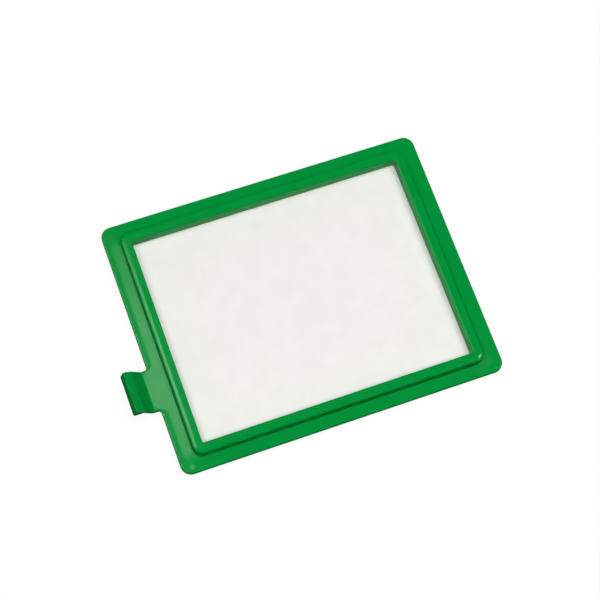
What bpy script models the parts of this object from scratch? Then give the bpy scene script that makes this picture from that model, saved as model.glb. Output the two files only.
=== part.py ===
"""Vacuum exhaust filter: a flat moulded frame with a finger tab, and the fleece held in its window.

Units are metres and +Z is up. X runs along the frame's long side, with the finger tab at -X.
The frame stands on its skirt, and the origin is in the middle of the base of the whole part.
"""
import math

import bmesh
import bpy

# Flange: the flat border that seals against the vacuum cleaner
FLANGE_LENGTH = 0.1500
FLANGE_WIDTH = 0.1184
FLANGE_THICKNESS = 0.0022
FLANGE_CORNER_RADIUS = 0.0048
FLANGE_EDGE_RADIUS = 0.0006
FLANGE_UNDER_RADIUS = 0.0003
SEAL_BAND_SHORT_SIDES = 0.0071
SEAL_BAND_LONG_SIDES = 0.0058

# Rim: the raised border round the window, hollow from below, with a drafted wall and a round shoulder
RIM_WIDTH = 0.0049
RIM_RISE = 0.0040
RIM_CORNER_RADIUS = 0.0046
RIM_DRAFT = 0.0003
RIM_SHOULDER_RADIUS = 0.0010
RIM_FOOT_FILLET = 0.0003
RIM_WALL = 0.0012
RIM_ROOF = 0.0015

# Window: the opening that the air leaves through
WINDOW_CORNER_RADIUS = 0.0008
WINDOW_EDGE_RADIUS = 0.0009

# Skirt: the window wall carried on below the flange, which drops into the cleaner's opening
SKIRT_DEPTH = 0.0030
SKIRT_WALL = 0.0017
SKIRT_FOOT_RADIUS = 0.0003

# Fleece, and the slot in the window wall that its edges sit in
MEDIA_THICKNESS = 0.0014
MEDIA_HEIGHT = 0.0010
SLOT_DEPTH = 0.0010
SLOT_CLEARANCE = 0.0003

# Finger tab: flat root, ramp, round crown and a thick nose to pull on
TAB_WIDTH = 0.0189
TAB_OFF_CENTRE = 0.0186
TAB_FLAT_LENGTH = 0.0024
TAB_FLAT_THICKNESS = 0.0020
TAB_RAMP_THICKNESS = 0.0015
TAB_RAMP_ANGLE = math.radians(54)
TAB_CREASE_RADIUS = 0.0012
TAB_RISE = 0.0079
TAB_CROWN_RADIUS = 0.0075
TAB_CROWN_END_ANGLE = math.radians(14)
TAB_NOSE_HEIGHT = 0.0039
TAB_NOSE_ANGLE = math.radians(71)
TAB_NOSE_CORNER_RADIUS = 0.0008
TAB_ROOT_FILLET = 0.0012
TAB_EDGE_RADIUS = 0.0003
TAB_EMBED = 0.0030

# Facets on each quarter corner, each round edge and each bend of the tab
CORNER_STEPS = 10
ROUND_STEPS = 5
TAB_ARC_STEPS = 8


def arc(centre_u, centre_v, radius, start, end, steps):
    """Points on an arc in a plane, from the start angle to the end angle in radians."""
    points = []
    for i in range(steps + 1):
        angle = start + (end - start) * i / steps
        points.append((centre_u + radius * math.cos(angle), centre_v + radius * math.sin(angle)))
    return points


def rounded_rectangle(centre_x, half_x, half_y, radius):
    """Plan outline with round corners, anticlockwise from the +X side."""
    points = []
    corners = ((1, 1), (-1, 1), (-1, -1), (1, -1))
    for quarter, (side_x, side_y) in enumerate(corners):
        start = quarter * math.pi / 2
        points += arc(centre_x + side_x * (half_x - radius), side_y * (half_y - radius), radius,
                      start, start + math.pi / 2, CORNER_STEPS)
    return points


def material(name, colour, roughness):
    """A plain Principled material with the part's own colour."""
    made = bpy.data.materials.new(name)
    made.use_nodes = True
    shader = made.node_tree.nodes["Principled BSDF"]
    shader.inputs["Base Color"].default_value = (*colour, 1.0)
    shader.inputs["Roughness"].default_value = roughness
    shader.inputs["Metallic"].default_value = 0.0
    return made


def add_object(name, bm, group):
    """Turns a bmesh into a named object in the given collection."""
    mesh = bpy.data.meshes.new(name)
    bm.to_mesh(mesh)
    bm.free()
    made = bpy.data.objects.new(name, mesh)
    group.objects.link(made)
    return made


def add_collection(name):
    """A collection linked to the scene."""
    made = bpy.data.collections.new(name)
    bpy.context.scene.collection.children.link(made)
    return made


def prism(name, outline, place, along, group):
    """Extrudes an outline into a closed solid. place turns an outline point into a 3-D point."""
    bm = bmesh.new()
    face = bm.faces.new([bm.verts.new(place(u, v)) for u, v in outline])
    grown = bmesh.ops.extrude_face_region(bm, geom=[face])
    moved = [v for v in grown["geom"] if isinstance(v, bmesh.types.BMVert)]
    bmesh.ops.translate(bm, verts=moved, vec=along)
    bmesh.ops.recalc_face_normals(bm, faces=bm.faces)
    return add_object(name, bm, group)


def loft_rings(name, rings, group):
    """Joins plan outlines of equal count into one closed band, the last ring back to the first."""
    bm = bmesh.new()
    loops = [[bm.verts.new((x, y, z)) for x, y in outline] for outline, z in rings]
    for ring, following in zip(loops, loops[1:] + loops[:1]):
        for i in range(len(ring)):
            j = (i + 1) % len(ring)
            bm.faces.new((ring[i], ring[j], following[j], following[i]))
    bmesh.ops.recalc_face_normals(bm, faces=bm.faces)
    return add_object(name, bm, group)


def combine(target, tool, operation):
    """Leaves a Boolean on the target. The tool is a guide that is neither rendered nor kept."""
    boolean = target.modifiers.new(operation.title() + " " + tool.name, "BOOLEAN")
    boolean.operation = operation
    boolean.object = tool
    boolean.solver = "EXACT"
    tool.hide_render = True
    tool.display_type = "WIRE"


def tab_side_profile():
    """Side view of the finger tab: distance out from the flange's edge, and height over the base."""
    top = SKIRT_DEPTH + FLANGE_THICKNESS
    peak = top + TAB_RISE
    steep = TAB_RAMP_ANGLE
    crest = TAB_CROWN_END_ANGLE

    # Upper line: flat, crease, ramp, crown
    crease = arc(TAB_FLAT_LENGTH, top + TAB_CREASE_RADIUS, TAB_CREASE_RADIUS,
                 -math.pi / 2, -math.pi / 2 + steep, TAB_ARC_STEPS)
    ramp_rise = (TAB_RISE - TAB_CREASE_RADIUS * (1 - math.cos(steep))
                 - TAB_CROWN_RADIUS * (math.cos(crest) - math.cos(steep)))
    ramp_start = crease[-1]
    ramp_end_u = ramp_start[0] + ramp_rise / math.tan(steep)
    crown_u = ramp_end_u + TAB_CROWN_RADIUS * math.sin(steep)
    crown_v = peak - TAB_CROWN_RADIUS * math.cos(crest)
    crown = arc(crown_u, crown_v, TAB_CROWN_RADIUS,
                math.pi / 2 + steep, math.pi / 2 + crest, TAB_ARC_STEPS)

    # Nose: its end face leans outward to a flat underside
    nose_top_u = crown[-1][0]
    nose_base = peak - TAB_NOSE_HEIGHT
    reach = nose_top_u + TAB_NOSE_HEIGHT / math.tan(TAB_NOSE_ANGLE)

    # Lower line: back under the ramp, parallel to it, to the flat root
    under_ramp_u = ramp_start[0] + TAB_RAMP_THICKNESS * math.sin(steep)
    under_ramp_v = ramp_start[1] - TAB_RAMP_THICKNESS * math.cos(steep)
    nose_inner_u = under_ramp_u + (nose_base - under_ramp_v) / math.tan(steep)
    flat_under = top - TAB_FLAT_THICKNESS
    bend_u = under_ramp_u - (under_ramp_v - flat_under) / math.tan(steep)
    tangent = TAB_CREASE_RADIUS * math.tan(steep / 2)
    bend = arc(bend_u - tangent, flat_under + TAB_CREASE_RADIUS, TAB_CREASE_RADIUS,
               -math.pi / 2 + steep, -math.pi / 2, TAB_ARC_STEPS)

    outline = [(-TAB_EMBED, top), *crease, *crown, (reach, nose_base), (nose_inner_u, nose_base),
               *bend, (-TAB_EMBED, flat_under)]
    return outline, reach


def tab_plan(reach):
    """Plan view of the finger tab: distance out from the flange's edge, and place across the tab."""
    half = TAB_WIDTH / 2
    fillet = TAB_ROOT_FILLET
    corner = TAB_NOSE_CORNER_RADIUS
    upper = [(-TAB_EMBED, half + fillet)]
    upper += arc(fillet, half + fillet, fillet, math.pi, math.pi * 1.5, TAB_ARC_STEPS)
    upper += arc(reach - corner, half - corner, corner, math.pi / 2, 0.0, TAB_ARC_STEPS)
    lower = [(u, -v) for u, v in reversed(upper)]
    return upper + lower


def frame_rings(centre_x):
    """The frame's section: up round the flange, over the rim, down the window and up the channel."""
    flange_x = FLANGE_LENGTH / 2
    flange_y = FLANGE_WIDTH / 2
    rim_x = flange_x - SEAL_BAND_SHORT_SIDES
    rim_y = flange_y - SEAL_BAND_LONG_SIDES
    flange_top = SKIRT_DEPTH + FLANGE_THICKNESS
    rim_top = flange_top + RIM_RISE
    slot_floor = MEDIA_HEIGHT - SLOT_CLEARANCE
    slot_roof = MEDIA_HEIGHT + MEDIA_THICKNESS + SLOT_CLEARANCE
    rings = []

    def flange_ring(inset, z):
        radius = FLANGE_CORNER_RADIUS - inset
        rings.append((rounded_rectangle(centre_x, flange_x - inset, flange_y - inset, radius), z))

    def rim_ring(inset, z, radius):
        rings.append((rounded_rectangle(centre_x, rim_x - inset, rim_y - inset, radius), z))

    # The window, the slot, the skirt and the channel share their corners' centres
    def window_ring(inset, z):
        rim_ring(inset, z, WINDOW_CORNER_RADIUS + RIM_WIDTH - inset)

    # Flange, with round edges
    under = FLANGE_UNDER_RADIUS
    for inset, z in arc(under, SKIRT_DEPTH + under, under, math.pi * 1.5, math.pi, ROUND_STEPS):
        flange_ring(inset, z)
    edge = FLANGE_EDGE_RADIUS
    for inset, z in arc(edge, flange_top - edge, edge, math.pi, math.pi / 2, ROUND_STEPS):
        flange_ring(inset, z)

    # Rim, from the fillet at its foot up the drafted wall and over the shoulder
    foot = RIM_FOOT_FILLET
    for inset, z in arc(-foot, flange_top + foot, foot, -math.pi / 2, 0.0, ROUND_STEPS):
        rim_ring(inset, z, RIM_CORNER_RADIUS - inset)
    round_off = RIM_SHOULDER_RADIUS
    for inset, z in arc(RIM_DRAFT + round_off, rim_top - round_off, round_off,
                        math.pi, math.pi / 2, ROUND_STEPS):
        rim_ring(inset, z, RIM_CORNER_RADIUS - inset)

    # Window wall, with a round top edge, down to the slot
    edge = WINDOW_EDGE_RADIUS
    for inset, z in arc(RIM_WIDTH - edge, rim_top - edge, edge, math.pi / 2, 0.0, ROUND_STEPS):
        window_ring(inset, z)
    window_ring(RIM_WIDTH, slot_roof)

    # Slot for the fleece, and the lip under it
    slot_end = RIM_WIDTH - SLOT_DEPTH
    window_ring(slot_end, slot_roof)
    window_ring(slot_end, slot_floor)
    window_ring(RIM_WIDTH, slot_floor)
    window_ring(RIM_WIDTH, 0.0)

    # Skirt, and the channel that is left under the rim so that the wall stays even
    skirt_outside = RIM_WIDTH - SKIRT_WALL
    foot = SKIRT_FOOT_RADIUS
    for inset, z in arc(skirt_outside + foot, foot, foot, -math.pi / 2, -math.pi, ROUND_STEPS):
        window_ring(inset, z)
    window_ring(skirt_outside, rim_top - RIM_ROOF)
    window_ring(RIM_DRAFT + RIM_WALL, rim_top - RIM_ROOF)
    window_ring(RIM_WALL, SKIRT_DEPTH)
    return rings


def build_frame(group, guides):
    """One moulding: the lofted frame with the finger tab joined to its short side."""
    profile, reach = tab_side_profile()
    centre_x = reach / 2
    edge_x = centre_x - FLANGE_LENGTH / 2
    frame = loft_rings("frame", frame_rings(centre_x), group)

    # The tab is the shape that its side view and its plan have in common
    spare = TAB_WIDTH
    highest = SKIRT_DEPTH + FLANGE_THICKNESS + TAB_RISE
    tab = prism("finger_tab", profile,
                lambda u, v: (edge_x - u, -TAB_OFF_CENTRE - spare, v), (0.0, 2 * spare, 0.0), guides)
    plan = prism("finger_tab_plan", tab_plan(reach),
                 lambda u, v: (edge_x - u, v - TAB_OFF_CENTRE, -highest), (0.0, 0.0, 3 * highest), guides)
    combine(tab, plan, "INTERSECT")
    bevel = tab.modifiers.new("Rounded edges", "BEVEL")
    bevel.width = TAB_EDGE_RADIUS
    bevel.segments = 2
    bevel.limit_method = "ANGLE"
    bevel.angle_limit = math.radians(40)
    combine(frame, tab, "UNION")
    frame.data.materials.append(material("green_plastic", (0.0, 0.27, 0.05), 0.35))
    return centre_x


def build_media(centre_x, group):
    """The fleece: a flat sheet that reaches into the slot on all four sides."""
    held = SLOT_DEPTH - SLOT_CLEARANCE
    window_x = FLANGE_LENGTH / 2 - SEAL_BAND_SHORT_SIDES - RIM_WIDTH
    window_y = FLANGE_WIDTH / 2 - SEAL_BAND_LONG_SIDES - RIM_WIDTH
    outline = rounded_rectangle(centre_x, window_x + held, window_y + held, WINDOW_CORNER_RADIUS + held)
    media = prism("filter_media", outline,
                  lambda x, y: (x, y, MEDIA_HEIGHT), (0.0, 0.0, MEDIA_THICKNESS), group)
    media.data.materials.append(material("white_fleece", (0.88, 0.87, 0.83), 0.95))
    return media


for old in list(bpy.data.objects):
    bpy.data.objects.remove(old, do_unlink=True)
parts = add_collection("vacuum_exhaust_filter")
cutters = add_collection("cutters")
window_centre_x = build_frame(parts, cutters)
build_media(window_centre_x, parts)
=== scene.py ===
"""Vacuum exhaust filter: the looks of the moulded frame and of the fleece held in its window.

Metres, +Z up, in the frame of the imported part: +X along the long side, with the finger tab at -X.
"""
import math

import bmesh
import bpy
from mathutils import Matrix, Vector, noise


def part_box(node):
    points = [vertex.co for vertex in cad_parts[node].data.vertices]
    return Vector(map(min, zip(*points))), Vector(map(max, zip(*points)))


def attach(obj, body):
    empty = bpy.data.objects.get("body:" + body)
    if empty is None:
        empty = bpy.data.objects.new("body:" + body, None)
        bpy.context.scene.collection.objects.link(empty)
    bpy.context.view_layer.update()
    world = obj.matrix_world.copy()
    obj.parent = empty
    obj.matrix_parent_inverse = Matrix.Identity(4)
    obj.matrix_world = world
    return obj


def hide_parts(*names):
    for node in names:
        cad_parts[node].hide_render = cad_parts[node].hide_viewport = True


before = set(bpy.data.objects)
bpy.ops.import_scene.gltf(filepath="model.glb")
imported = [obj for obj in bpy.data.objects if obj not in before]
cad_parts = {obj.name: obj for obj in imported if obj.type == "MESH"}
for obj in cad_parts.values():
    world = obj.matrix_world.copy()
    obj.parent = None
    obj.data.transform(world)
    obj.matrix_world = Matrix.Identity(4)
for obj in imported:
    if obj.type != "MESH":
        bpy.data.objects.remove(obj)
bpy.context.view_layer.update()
frame_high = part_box("frame")[1]
fleece_low, fleece_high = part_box("filter_media")


# Sealing flange, rim and skirt
# One injection moulding in satin green plastic. The flat flange seals against the cleaner, the rim
# is hollow from below so that its wall stays even, and the skirt drops into the cleaner's opening.
FLANGE_LENGTH = 0.1500
FLANGE_THICKNESS = 0.0022
FLANGE_CORNER = 0.0048
FLANGE_TOP_ROUND = 0.0006
FLANGE_UNDER_ROUND = 0.0003
SEAL_BAND_SHORT_SIDES = 0.0071
SEAL_BAND_LONG_SIDES = 0.0058
RIM_WIDTH = 0.0049
RIM_RISE = 0.0040
RIM_CORNER = 0.0046
RIM_DRAFT = 0.0003
RIM_SHOULDER_ROUND = 0.0010
RIM_FOOT_FILLET = 0.0003
RIM_WALL = 0.0012
RIM_ROOF = 0.0015
WINDOW_CORNER = 0.0008
WINDOW_EDGE_ROUND = 0.0006
SKIRT_DEPTH = 0.0030
SKIRT_WALL = 0.0017
SKIRT_FOOT_ROUND = 0.0003
SLOT_DEPTH = 0.0010
SLOT_CLEARANCE = 0.0003
CORNER_SEGMENTS = 14
ROUND_SEGMENTS = 6
FILLET_SEGMENTS = 4
SMALL_ROUND_SEGMENTS = 3

flange_top = SKIRT_DEPTH + FLANGE_THICKNESS
rim_top = flange_top + RIM_RISE
centre_x = frame_high.x - FLANGE_LENGTH / 2
flange_half = Vector((FLANGE_LENGTH / 2, frame_high.y))
rim_half = flange_half - Vector((SEAL_BAND_SHORT_SIDES, SEAL_BAND_LONG_SIDES))


def round_corners(bm, corners, reach, segments):
    """Rounds corners of a flat outline off, each from reach before it to reach after it."""
    return bmesh.ops.bevel(bm, geom=corners, offset=reach, offset_type="OFFSET", segments=segments,
                           profile=0.5, affect="VERTICES", material=-1)["verts"]


def round_over(bm, edges, radius, segments=ROUND_SEGMENTS, clamped=False):
    """Rounds edges off, or fills them with a fillet where they lie in a hollow."""
    bmesh.ops.bevel(bm, geom=edges, offset=radius, offset_type="OFFSET", segments=segments,
                    profile=0.5, affect="EDGES", clamp_overlap=clamped, material=-1)


def ring(bm, half, radius, inset, z):
    """A closed loop of edges: a rectangle with its corners rounded, set in from half by inset."""
    corners = bmesh.ops.create_grid(bm, x_segments=1, y_segments=1, size=1.0)["verts"]
    bmesh.ops.scale(bm, vec=(half.x - inset, half.y - inset, 1.0), verts=corners)
    bmesh.ops.translate(bm, vec=(centre_x, 0.0, z), verts=corners)
    verts = set(round_corners(bm, corners, radius - inset, CORNER_SEGMENTS))
    edges = [e for e in bm.edges if e.verts[0] in verts and e.verts[1] in verts]
    faces = [f for f in bm.faces if all(v in verts for v in f.verts)]
    bmesh.ops.delete(bm, geom=faces, context="FACES_ONLY")
    return edges


frame_mesh = bmesh.new()
slot_roof = fleece_high.z + SLOT_CLEARANCE
slot_floor = fleece_low.z - SLOT_CLEARANCE
slot_inset = RIM_WIDTH - SLOT_DEPTH
window_radius = WINDOW_CORNER + RIM_WIDTH
skirt_inset = RIM_WIDTH - SKIRT_WALL
channel_roof = rim_top - RIM_ROOF
flange_under_edge = ring(frame_mesh, flange_half, FLANGE_CORNER, 0.0, SKIRT_DEPTH)
flange_top_edge = ring(frame_mesh, flange_half, FLANGE_CORNER, 0.0, flange_top)
rim_foot = ring(frame_mesh, rim_half, RIM_CORNER, 0.0, flange_top)
rim_shoulder = ring(frame_mesh, rim_half, RIM_CORNER, RIM_DRAFT, rim_top)
window_edge = ring(frame_mesh, rim_half, window_radius, RIM_WIDTH, rim_top)
skirt_foot = ring(frame_mesh, rim_half, window_radius, skirt_inset, 0.0)

# The section, once round from the flange's underside: over the rim, down the window wall and its
# slot, under the skirt's foot and back through the hollow channel
section = [
    flange_under_edge,
    flange_top_edge,
    rim_foot,
    rim_shoulder,
    window_edge,
    ring(frame_mesh, rim_half, window_radius, RIM_WIDTH, slot_roof),
    ring(frame_mesh, rim_half, window_radius, slot_inset, slot_roof),
    ring(frame_mesh, rim_half, window_radius, slot_inset, slot_floor),
    ring(frame_mesh, rim_half, window_radius, RIM_WIDTH, slot_floor),
    ring(frame_mesh, rim_half, window_radius, RIM_WIDTH, 0.0),
    skirt_foot,
    ring(frame_mesh, rim_half, window_radius, skirt_inset, channel_roof),
    ring(frame_mesh, rim_half, window_radius, RIM_DRAFT + RIM_WALL, channel_roof),
    ring(frame_mesh, rim_half, window_radius, RIM_WALL, SKIRT_DEPTH),
]


def lift(bm, loops, step):
    """Moves each loop up by one step more than the loop before it."""
    for number, loop in enumerate(loops):
        verts = list({v for e in loop for v in e.verts})
        bmesh.ops.translate(bm, vec=(0.0, 0.0, number * step), verts=verts)


# Loops that share a plane would be bridged crosswise, so they are pulled apart meanwhile
lift(frame_mesh, section, RIM_RISE)
for lower, upper in zip(section, section[1:] + section[:1]):
    bmesh.ops.bridge_loops(frame_mesh, edges=lower + upper)
lift(frame_mesh, section, -RIM_RISE)
bmesh.ops.recalc_face_normals(frame_mesh, faces=frame_mesh.faces)
round_over(frame_mesh, flange_top_edge, FLANGE_TOP_ROUND)
round_over(frame_mesh, flange_under_edge, FLANGE_UNDER_ROUND, SMALL_ROUND_SEGMENTS)
round_over(frame_mesh, rim_foot, RIM_FOOT_FILLET, FILLET_SEGMENTS)
round_over(frame_mesh, rim_shoulder, RIM_SHOULDER_ROUND)
round_over(frame_mesh, window_edge, WINDOW_EDGE_ROUND)
round_over(frame_mesh, skirt_foot, SKIRT_FOOT_ROUND, SMALL_ROUND_SEGMENTS)


def new_piece(name, bm):
    """Turns a bmesh into an object of the scene, at the origin."""
    mesh = bpy.data.meshes.new(name)
    bm.to_mesh(mesh)
    bm.free()
    piece = bpy.data.objects.new(name, mesh)
    bpy.context.scene.collection.objects.link(piece)
    return piece


frame_moulding = new_piece("frame_moulding", frame_mesh)


# Finger tab
# Part of the same moulding: a flat root, a ramp, a round crown and a thick nose that a fingertip
# pulls on. It is drawn from its side, given its width, and run into the flange with round roots.
TAB_WIDTH = 0.0189
TAB_OFF_CENTRE = 0.0186
TAB_FLAT_LENGTH = 0.0024
TAB_FLAT_THICKNESS = 0.0020
TAB_RAMP_THICKNESS = 0.0015
TAB_RAMP_ANGLE = math.radians(54)
TAB_CREASE_ROUND = 0.0012
TAB_RISE = 0.0079
TAB_CROWN_ROUND = 0.0075
TAB_CREST_ANGLE = math.radians(14)
TAB_NOSE_HEIGHT = 0.0039
TAB_NOSE_ANGLE = math.radians(71)
TAB_NOSE_CORNER = 0.0008
TAB_ROOT_FILLET = 0.0012
TAB_EDGE_ROUND = 0.0004
TAB_EMBED = 0.0030
TAB_BEND_SEGMENTS = 10
TAB_ROOT_SEGMENTS = 8
ROUNDED_EDGE_ANGLE = math.radians(40)
SMOOTH_SHADING_ANGLE = math.radians(35)
SAME_PLACE = 1e-6
ROOT_CORNER_STEP = 1e-5

edge_x = centre_x - flange_half.x
tab_top = flange_top + TAB_RISE
tab_half = TAB_WIDTH / 2

# Where the crown's two end lines meet, and from there down the ramp to the crease
half_turn = (TAB_RAMP_ANGLE - TAB_CREST_ANGLE) / 2
crown_tangent = TAB_CROWN_ROUND * math.tan(half_turn)
crown_up = tab_top - crown_tangent * math.sin(TAB_CREST_ANGLE)
crease_tangent = TAB_CREASE_ROUND * math.tan(TAB_RAMP_ANGLE / 2)
crease_out = TAB_FLAT_LENGTH + crease_tangent
crown_out = crease_out + (crown_up - flange_top) / math.tan(TAB_RAMP_ANGLE)
nose_out = crown_out + crown_tangent * math.cos(TAB_CREST_ANGLE)
nose_base = tab_top - TAB_NOSE_HEIGHT
reach = nose_out + TAB_NOSE_HEIGHT / math.tan(TAB_NOSE_ANGLE)

# The underside runs parallel to the ramp
flat_under = flange_top - TAB_FLAT_THICKNESS
under_slope = 1 / math.tan(TAB_RAMP_ANGLE)
under_out = crease_out + TAB_RAMP_THICKNESS / math.sin(TAB_RAMP_ANGLE)
bend_out = under_out + (flat_under - flange_top) * under_slope
nose_inner_out = under_out + (nose_base - flange_top) * under_slope


def give_depth(bm, step):
    """Extrudes a flat outline by a step, with its faces turned outwards."""
    grown = bmesh.ops.extrude_face_region(bm, geom=bm.faces[:])["geom"]
    bmesh.ops.translate(bm, vec=step, verts=[v for v in grown if isinstance(v, bmesh.types.BMVert)])
    bmesh.ops.recalc_face_normals(bm, faces=bm.faces)


# The side view, as distances out from the flange's edge and heights over the base
tab_mesh = bmesh.new()
side_view = (
    (-TAB_EMBED, flange_top),
    (crease_out, flange_top),
    (crown_out, crown_up),
    (nose_out, tab_top),
    (reach, nose_base),
    (nose_inner_out, nose_base),
    (bend_out, flat_under),
    (-TAB_EMBED, flat_under),
)
corners = [tab_mesh.verts.new((edge_x - out, -TAB_OFF_CENTRE - tab_half, up)) for out, up in side_view]
tab_mesh.faces.new(corners)
crease, crown_corner, under_bend = corners[1], corners[2], corners[6]
round_corners(tab_mesh, [crease], crease_tangent, TAB_BEND_SEGMENTS)
round_corners(tab_mesh, [crown_corner], crown_tangent, TAB_BEND_SEGMENTS)
round_corners(tab_mesh, [under_bend], crease_tangent, TAB_BEND_SEGMENTS)
give_depth(tab_mesh, (0.0, TAB_WIDTH, 0.0))

# The nose's two corners, then a small round on every other sharp edge outside the flange
nose_heights = {round(nose_base, 6), round(tab_top, 6)}
nose_corners = [e for e in tab_mesh.edges
                if abs(e.verts[0].co.y - e.verts[1].co.y) < SAME_PLACE
                and {round(v.co.z, 6) for v in e.verts} == nose_heights
                and min(v.co.x for v in e.verts) < edge_x - reach + SAME_PLACE]
round_over(tab_mesh, nose_corners, TAB_NOSE_CORNER)
outer_edges = [e for e in tab_mesh.edges
               if e.calc_face_angle(0.0) > ROUNDED_EDGE_ANGLE and min(v.co.x for v in e.verts) < edge_x]
round_over(tab_mesh, outer_edges, TAB_EDGE_ROUND, SMALL_ROUND_SEGMENTS, clamped=True)
finger_tab = new_piece("finger_tab", tab_mesh)

# Root plate: the flat that flares into the flange with a fillet on each side, seen from above
root_mesh = bmesh.new()
root_half = tab_half + TAB_ROOT_FILLET
root_outline = (
    (-TAB_EMBED, root_half),
    (0.0, root_half + ROOT_CORNER_STEP),
    (0.0, tab_half),
    (TAB_FLAT_LENGTH, tab_half),
    (TAB_FLAT_LENGTH, -tab_half),
    (0.0, -tab_half),
    (0.0, -root_half - ROOT_CORNER_STEP),
    (-TAB_EMBED, -root_half),
)
plate = [root_mesh.verts.new((edge_x - out, across - TAB_OFF_CENTRE, flat_under))
         for out, across in root_outline]
root_mesh.faces.new(plate)
round_corners(root_mesh, [plate[2], plate[5]], TAB_ROOT_FILLET, TAB_ROOT_SEGMENTS)
give_depth(root_mesh, (0.0, 0.0, TAB_FLAT_THICKNESS))
tab_root = new_piece("tab_root", root_mesh)

for tool in (tab_root, finger_tab):
    union = frame_moulding.modifiers.new("Join " + tool.name, "BOOLEAN")
    union.operation = "UNION"
    union.object = tool
    union.solver = "EXACT"
joined = bpy.data.meshes.new_from_object(
    frame_moulding.evaluated_get(bpy.context.evaluated_depsgraph_get()))
frame_moulding.modifiers.clear()
frame_moulding.data = joined
for tool in (tab_root, finger_tab):
    bpy.data.objects.remove(tool, do_unlink=True)

# Smooth rounds between flats that stay flat
joined.shade_smooth()
joined.set_sharp_from_angle(angle=SMOOTH_SHADING_ANGLE)
weighted = frame_moulding.modifiers.new("Flat faces lead the shading", "WEIGHTED_NORMAL")
weighted.keep_sharp = True
weighted.weight = 100


# Green plastic
# Coloured through, so the colour hardly varies. The mould leaves a fine satin grain, the thick
# joints draw the flange down a little towards its edge, and two small pale spots are painted near its
# corners.
def add(tree, kind, **inputs):
    """A node with its settings and inputs given by name, or by number after an underscore."""
    made = tree.nodes.new(kind)
    for key, value in inputs.items():
        if hasattr(made, key) and key not in made.inputs:
            setattr(made, key, value)
            continue
        socket = made.inputs[int(key[1:])] if key[0] == "_" else made.inputs[key.replace("_", " ")]
        if isinstance(value, bpy.types.NodeSocket):
            tree.links.new(value, socket)
        else:
            socket.default_value = value
    return made


def calc(tree, operation, *values):
    """One step of arithmetic, as the socket with its result."""
    return add(tree, "ShaderNodeMath", operation=operation,
               **{"_%d" % number: value for number, value in enumerate(values)}).outputs[0]


def ease(tree, value, start, end, low=0.0, high=1.0):
    """A soft step from low to high while value goes from start to end."""
    return add(tree, "ShaderNodeMapRange", interpolation_type="SMOOTHSTEP", Value=value,
               _1=start, _2=end, _3=low, _4=high).outputs["Result"]


def mix_colours(tree, share, first, second):
    """The first colour where share is 0 and the second where it is 1."""
    return add(tree, "ShaderNodeMix", data_type="RGBA", _0=share, _6=first, _7=second).outputs[2]


def new_group(name, values):
    """A node group that takes a Vector and some values, with its inputs and its one output."""
    group = bpy.data.node_groups.new(name, "ShaderNodeTree")
    group.interface.new_socket("Vector", in_out="INPUT", socket_type="NodeSocketVector")
    for value in values:
        group.interface.new_socket(value, in_out="INPUT", socket_type="NodeSocketFloat")
    group.interface.new_socket("Value", in_out="OUTPUT", socket_type="NodeSocketFloat")
    given = group.nodes.new("NodeGroupInput").outputs
    return group, given, group.nodes.new("NodeGroupOutput").inputs["Value"]


def rounded_outline_group():
    """How far a point lies outside a rectangle with rounded corners, seen from above."""
    group, given, result = new_group("distance outside a rounded rectangle",
                                     ("Centre X", "Half X", "Half Y", "Corner"))
    axes = add(group, "ShaderNodeSeparateXYZ", Vector=given["Vector"]).outputs
    across = calc(group, "ABSOLUTE", calc(group, "SUBTRACT", axes["X"], given["Centre X"]))
    along = calc(group, "ABSOLUTE", axes["Y"])
    past = []
    for distance, half in ((across, given["Half X"]), (along, given["Half Y"])):
        straight = calc(group, "SUBTRACT", half, given["Corner"])
        over = calc(group, "MAXIMUM", calc(group, "SUBTRACT", distance, straight), 0.0)
        past.append(calc(group, "MULTIPLY", over, over))
    radius = calc(group, "SQRT", calc(group, "ADD", *past))
    group.links.new(calc(group, "SUBTRACT", radius, given["Corner"]), result)
    return group


def mottle_group():
    """Slow cloudy change over a surface, between two limits. Both finishes use it."""
    group, given, result = new_group("cloudy mottle", ("Scale", "Detail", "Low", "High"))
    cloud = add(group, "ShaderNodeTexNoise", Vector=given["Vector"], Scale=given["Scale"],
                Detail=given["Detail"], Roughness=0.55)
    spread = add(group, "ShaderNodeMapRange", Value=cloud.outputs["Fac"], From_Min=0.3, From_Max=0.7,
                 To_Min=given["Low"], To_Max=given["High"])
    group.links.new(spread.outputs["Result"], result)
    return group


outline_distance = rounded_outline_group()
cloudy_mottle = mottle_group()


def mottle(tree, vector, scale, low, high, detail=3.0):
    """The shared mottle, placed with its own values."""
    return add(tree, "ShaderNodeGroup", node_tree=cloudy_mottle, Vector=vector, Scale=scale,
               Detail=detail, Low=low, High=high).outputs["Value"]


def new_material(name):
    """An empty node material, with its node tree and its shader."""
    made = bpy.data.materials.new(name)
    made.use_nodes = True
    return made, made.node_tree, made.node_tree.nodes["Principled BSDF"]


PLASTIC_COLOUR = (0.0002, 0.283, 0.043, 1.0)
PLASTIC_DEEP_COLOUR = (0.0002, 0.269, 0.039, 1.0)
PLASTIC_CLOUD_SCALE = 55.0
FLAT_ROUGHNESS_LOW = 0.13
FLAT_ROUGHNESS_HIGH = 0.20
FLAT_ROUGHNESS_SCALE = 140.0
WALL_ROUGHNESS = 0.42
WALL_UPWARD = 0.35
FLAT_UPWARD = 0.75
GRAIN_SCALE = 2600.0
GRAIN_STRENGTH = 0.02
GRAIN_HEIGHT = 0.0002
# A paler green, painted in two small spots near the flange's corners at -Y
PALE_SPOT_COLOUR = (0.040, 0.345, 0.105, 1.0)
PALE_SPOTS = ((-0.0702, -0.0564, 0.0016), (0.0712, -0.0575, 0.0007))
PALE_SPOT_CLEAR_SHARE = 0.3

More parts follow.
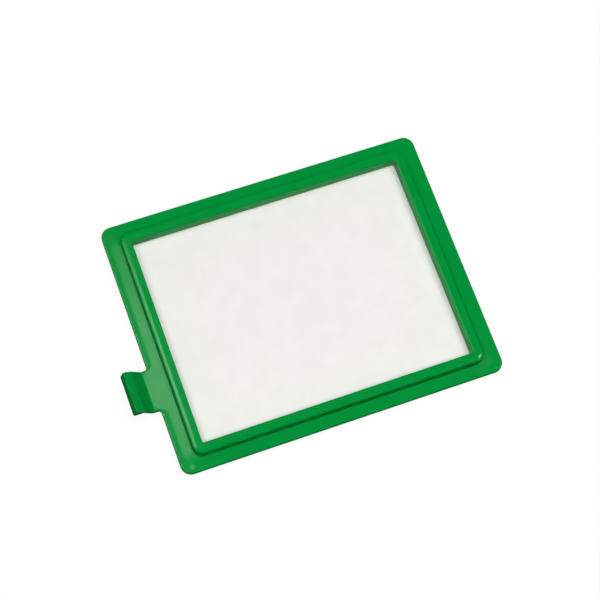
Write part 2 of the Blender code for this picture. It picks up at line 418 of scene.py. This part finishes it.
green_plastic, tree, shader = new_material("satin green plastic")
coordinates = add(tree, "ShaderNodeTexCoord").outputs
place = coordinates["Object"]
clouds = mottle(tree, place, PLASTIC_CLOUD_SCALE, 0.0, 1.0)
colour = mix_colours(tree, clouds, PLASTIC_COLOUR, PLASTIC_DEEP_COLOUR)

# Two small pale spots are painted into the colour near the flange's corners at -Y: each is given by its
# place from the flange's middle, and its radius
pale_spots = None
for x, y, radius in PALE_SPOTS:
    away = add(tree, "ShaderNodeVectorMath", operation="DISTANCE", _0=place,
               _1=(centre_x + x, y, flange_top)).outputs["Value"]
    mark = ease(tree, away, radius, PALE_SPOT_CLEAR_SHARE * radius)
    pale_spots = mark if pale_spots is None else calc(tree, "MAXIMUM", pale_spots, mark)
tree.links.new(mix_colours(tree, pale_spots, colour, PALE_SPOT_COLOUR), shader.inputs["Base Color"])

# The flats shine, and the steep walls are duller
polish = mottle(tree, place, FLAT_ROUGHNESS_SCALE, FLAT_ROUGHNESS_LOW, FLAT_ROUGHNESS_HIGH)
upward = add(tree, "ShaderNodeSeparateXYZ", Vector=coordinates["Normal"]).outputs["Z"]
tree.links.new(ease(tree, calc(tree, "ABSOLUTE", upward), WALL_UPWARD, FLAT_UPWARD, WALL_ROUGHNESS, polish),
               shader.inputs["Roughness"])
grain = add(tree, "ShaderNodeTexNoise", Vector=place, Scale=GRAIN_SCALE, Detail=2.0)
grain_bump = add(tree, "ShaderNodeBump", Strength=GRAIN_STRENGTH, Distance=GRAIN_HEIGHT,
                 Height=grain.outputs["Fac"])

# The sinking: the flange falls off from the rim's foot, over the tab's flat root further than elsewhere
SINK_SLOPE = math.tan(math.radians(3.8))
SINK_UNEVENNESS = 0.15
SINK_CLOUD_SCALE = 38.0
SINK_WIDTH = 0.0043
SINK_WIDTH_AT_TAB = 0.0110
SINK_END_EASE = 0.0012
TAB_SINK_INNER = 0.004
TAB_SINK_OUTER = 0.002
TAB_SINK_PAST_SIDE = 0.0015
TAB_SINK_WITHIN_SIDE = 0.0025

axes = add(tree, "ShaderNodeSeparateXYZ", Vector=place).outputs
from_foot = add(tree, "ShaderNodeGroup", node_tree=outline_distance, Vector=place, Centre_X=centre_x,
                Half_X=rim_half.x, Half_Y=rim_half.y, Corner=RIM_CORNER).outputs["Value"]
near_tab_side = ease(tree, calc(tree, "ABSOLUTE", calc(tree, "ADD", axes["Y"], TAB_OFF_CENTRE)),
                     tab_half + TAB_SINK_PAST_SIDE, tab_half - TAB_SINK_WITHIN_SIDE)
at_tab = calc(tree, "MULTIPLY", ease(tree, axes["X"], edge_x + TAB_SINK_INNER, edge_x + TAB_SINK_OUTER),
              near_tab_side)
sunk_width = calc(tree, "MULTIPLY_ADD", at_tab, SINK_WIDTH_AT_TAB - SINK_WIDTH, SINK_WIDTH)
sunk = calc(tree, "SMOOTH_MIN", calc(tree, "MAXIMUM", from_foot, 0.0), sunk_width, SINK_END_EASE)
sunk_slope = mottle(tree, place, SINK_CLOUD_SCALE, (1 - SINK_UNEVENNESS) * SINK_SLOPE,
                    (1 + SINK_UNEVENNESS) * SINK_SLOPE)
sunk = calc(tree, "MULTIPLY", sunk, sunk_slope)

# The rim's top falls off before its shoulder: the slope grows over the first part, then holds
CROWN_SLOPE = math.tan(math.radians(9.5))
CROWN_WIDTH = 0.0010
CROWN_EASE = 0.0005

crown_run = calc(tree, "ADD", from_foot, RIM_DRAFT + RIM_SHOULDER_ROUND + CROWN_WIDTH)
crown_run = calc(tree, "MINIMUM", calc(tree, "MAXIMUM", crown_run, 0.0), CROWN_WIDTH)
crown_start = calc(tree, "POWER", calc(tree, "MINIMUM", crown_run, CROWN_EASE), 3.0)
crown_rest = calc(tree, "MAXIMUM", calc(tree, "SUBTRACT", crown_run, CROWN_EASE), 0.0)
crown = calc(tree, "MULTIPLY", CROWN_SLOPE,
             calc(tree, "MULTIPLY_ADD", crown_start, 1 / (3 * CROWN_EASE ** 2), crown_rest))
sink_bump = add(tree, "ShaderNodeBump", Strength=1.0, Distance=-1.0, Normal=grain_bump.outputs["Normal"],
                Height=calc(tree, "ADD", sunk, crown))
tree.links.new(sink_bump.outputs["Normal"], shader.inputs["Normal"])
shader.inputs["IOR"].default_value = 1.5
shader.inputs["Specular IOR Level"].default_value = 0.09
frame_moulding.data.materials.clear()
frame_moulding.data.materials.append(green_plastic)
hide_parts("frame")
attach(frame_moulding, "root")


# Filter fleece
# White non-woven polyester, needled into a soft flat sheet. Its edges lie in the slot of the
# window wall, where the frame was moulded round them, so it is held stretched on all four sides.
FLEECE_CORNER = 0.0015
FLEECE_STEPS_X = 190
FLEECE_STEPS_Y = 146
FLEECE_WAVE = 0.00005
FLEECE_WAVE_SCALE = 110.0
FLEECE_FLAT_EDGE = 0.001
FLEECE_WAVE_RAMP = 0.004
fleece_size = fleece_high - fleece_low
fleece_centre = (fleece_low + fleece_high) / 2

fleece_mesh = bmesh.new()
bmesh.ops.create_grid(fleece_mesh, x_segments=FLEECE_STEPS_X, y_segments=FLEECE_STEPS_Y, size=1.0)
bmesh.ops.scale(fleece_mesh, vec=(fleece_size.x / 2, fleece_size.y / 2, 1.0), verts=fleece_mesh.verts)
bmesh.ops.translate(fleece_mesh, vec=(fleece_centre.x, 0.0, fleece_high.z), verts=fleece_mesh.verts)
corner_x = fleece_size.x / 2 - FLEECE_CORNER
corner_y = fleece_size.y / 2 - FLEECE_CORNER

# The square corners are drawn in to round ones, and the surface gets its faint waves
for vert in fleece_mesh.verts:
    past_x = abs(vert.co.x - fleece_centre.x) - corner_x
    past_y = abs(vert.co.y) - corner_y
    if past_x > 0 and past_y > 0:
        reach_in = max(past_x, past_y) / math.hypot(past_x, past_y)
        vert.co.x -= math.copysign(past_x * (1 - reach_in), vert.co.x - fleece_centre.x)
        vert.co.y -= math.copysign(past_y * (1 - reach_in), vert.co.y)
    from_edge = -max(past_x, past_y) + FLEECE_CORNER
    free = min(1.0, max(0.0, (from_edge - FLEECE_FLAT_EDGE) / FLEECE_WAVE_RAMP))
    vert.co.z += free * FLEECE_WAVE * noise.noise(vert.co * FLEECE_WAVE_SCALE)
filter_fleece = new_piece("filter_fleece", fleece_mesh)
thicken = filter_fleece.modifiers.new("Thickness", "SOLIDIFY")
thicken.thickness = fleece_size.z
thicken.offset = -1.0
filter_fleece.data.shade_smooth()

FLEECE_COLOUR = (0.895, 0.880, 0.852, 1.0)
FLEECE_THIN_COLOUR = (0.865, 0.850, 0.819, 1.0)
FLEECE_CLOUD_SCALE = 120.0
FLEECE_CLOUD_DETAIL = 5.0
FIBRE_TURNS = (0.35, 1.4, 2.5)
FIBRE_STRETCH = (160.0, 1500.0, 700.0)
PILE_STRENGTH = 0.5
PILE_HEIGHT = 0.0004

white_fleece, tree, shader = new_material("white needled fleece")
place = add(tree, "ShaderNodeTexCoord").outputs["Object"]
clouds = mottle(tree, place, FLEECE_CLOUD_SCALE, 0.0, 1.0, FLEECE_CLOUD_DETAIL)
tree.links.new(mix_colours(tree, clouds, FLEECE_COLOUR, FLEECE_THIN_COLOUR), shader.inputs["Base Color"])

# The fibres lie in three directions, as long thin streaks that cross each other
fibre_height = None
for turn in FIBRE_TURNS:
    laid = add(tree, "ShaderNodeMapping", Vector=place, Rotation=(0.0, 0.0, turn), Scale=FIBRE_STRETCH)
    strand = add(tree, "ShaderNodeTexNoise", Vector=laid.outputs["Vector"], Scale=1.0, Detail=2.0,
                 Distortion=0.6)
    ridge = calc(tree, "ABSOLUTE", calc(tree, "SUBTRACT", strand.outputs["Fac"], 0.5))
    fibre_height = ridge if fibre_height is None else calc(tree, "MINIMUM", ridge, fibre_height)
pile = add(tree, "ShaderNodeBump", Strength=PILE_STRENGTH, Distance=PILE_HEIGHT, Height=fibre_height)
tree.links.new(pile.outputs["Normal"], shader.inputs["Normal"])
shader.inputs["Roughness"].default_value = 0.95
shader.inputs["Specular IOR Level"].default_value = 0.1
filter_fleece.data.materials.append(white_fleece)
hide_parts("filter_media")
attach(filter_fleece, "root")


# Floor, light and camera
# A white table. Its white for the camera is mostly its own, and the rest is lit, so that it keeps
# the part's soft shadow. It throws less light back at the part than a white sheet would.
FLOOR_REACH = 4.0
FLOOR_GAP = 0.0001
FLOOR_OWN_WHITE = 0.93
FLOOR_LIT_WHITE = 0.9
FLOOR_THROW = 0.10
WHITE = (1.0, 1.0, 1.0, 1.0)

floor_mesh = bmesh.new()
bmesh.ops.create_grid(floor_mesh, x_segments=1, y_segments=1, size=FLOOR_REACH)
bmesh.ops.translate(floor_mesh, vec=(0.0, 0.0, -FLOOR_GAP), verts=floor_mesh.verts)
floor = new_piece("floor", floor_mesh)
table_white, tree, shader = new_material("white table")
seen = add(tree, "ShaderNodeLightPath").outputs["Is Camera Ray"]
shade = ease(tree, seen, 0.0, 1.0, FLOOR_THROW, FLOOR_LIT_WHITE)
tree.links.new(add(tree, "ShaderNodeCombineColor", Red=shade, Green=shade, Blue=shade).outputs["Color"],
               shader.inputs["Base Color"])
shader.inputs["Roughness"].default_value = 1.0
shader.inputs["Specular IOR Level"].default_value = 0.0
own_white = add(tree, "ShaderNodeEmission", Color=WHITE, Strength=1.0)
blend = add(tree, "ShaderNodeMixShader", _0=calc(tree, "MULTIPLY", seen, FLOOR_OWN_WHITE),
            _1=shader.outputs[0], _2=own_white.outputs[0])
tree.links.new(blend.outputs[0], tree.nodes["Material Output"].inputs["Surface"])
floor.data.materials.append(table_white)

# A dim room, paler towards the horizon and dark above, where the flats of the part would mirror it
HORIZON_END = math.sin(math.radians(30))
DARK_START = math.sin(math.radians(50))
DARK_SHARE = 0.05
ROOM_STRENGTH = 0.17
ROOM_STRENGTH_BY_SIDE = (-0.06, 0.10, 0.0)

world = bpy.data.worlds.new("studio")
bpy.context.scene.world = world
world.use_nodes = True
tree = world.node_tree
background = tree.nodes["Background"]
direction = add(tree, "ShaderNodeTexCoord").outputs["Generated"]
height = add(tree, "ShaderNodeSeparateXYZ", Vector=direction).outputs["Z"]
horizon = ease(tree, height, HORIZON_END, DARK_START, 1.0, DARK_SHARE)
facing = add(tree, "ShaderNodeVectorMath", operation="DOT_PRODUCT", _0=direction,
             _1=ROOM_STRENGTH_BY_SIDE).outputs["Value"]
tree.links.new(calc(tree, "MULTIPLY", horizon, calc(tree, "ADD", facing, ROOM_STRENGTH)),
               background.inputs["Strength"])
background.inputs["Color"].default_value = WHITE


def area_lamp(name, place, size, power, mirrored=True, aimed=True):
    """A rectangular lamp, level or aimed at the part: the gloss mirrors it, or it only lights."""
    lamp = bpy.data.lights.new(name, "AREA")
    lamp.shape = "RECTANGLE"
    lamp.size, lamp.size_y = size
    lamp.energy = power
    made = bpy.data.objects.new(name, lamp)
    bpy.context.scene.collection.objects.link(made)
    made.location = place
    if aimed:
        made.rotation_euler = (-Vector(place)).to_track_quat("-Z", "Y").to_euler()
    made.visible_glossy = mirrored
    made.visible_diffuse = not mirrored
    lamp.cycles.use_multiple_importance_sampling = mirrored


area_lamp("overhead light", (0.0, -0.20, 1.6), (1.8, 1.25), 31.2, mirrored=False, aimed=False)
area_lamp("overhead strip", (-0.30, 0.39, 1.5), (0.57, 0.34), 7.6, aimed=False)
area_lamp("left panel", (-0.75, 0.40, 1.16), (0.45, 0.85), 16.0)
area_lamp("right glint", (0.794, -0.140, 1.43), (0.34, 0.26), 12.5)

# The camera looks down from over the tab's corner, as in the photo, and is rolled a little
CAMERA_PLACE = Vector((-0.1290, -0.2110, 0.7310))
CAMERA_AIM = Vector((0.00546, -0.00016, 0.0052))
CAMERA_ROLL = math.radians(13.25)

camera = bpy.data.cameras.new("camera")
camera.sensor_width = 36.0
camera.lens = 103.66
viewer = bpy.data.objects.new("camera", camera)
bpy.context.scene.collection.objects.link(viewer)
level = (CAMERA_AIM - CAMERA_PLACE).to_track_quat("-Z", "Y").to_matrix().to_4x4()
viewer.matrix_world = Matrix.Translation(CAMERA_PLACE) @ level @ Matrix.Rotation(CAMERA_ROLL, 4, "Z")
bpy.context.scene.camera = viewer
bpy.context.scene.view_settings.view_transform = "Standard"
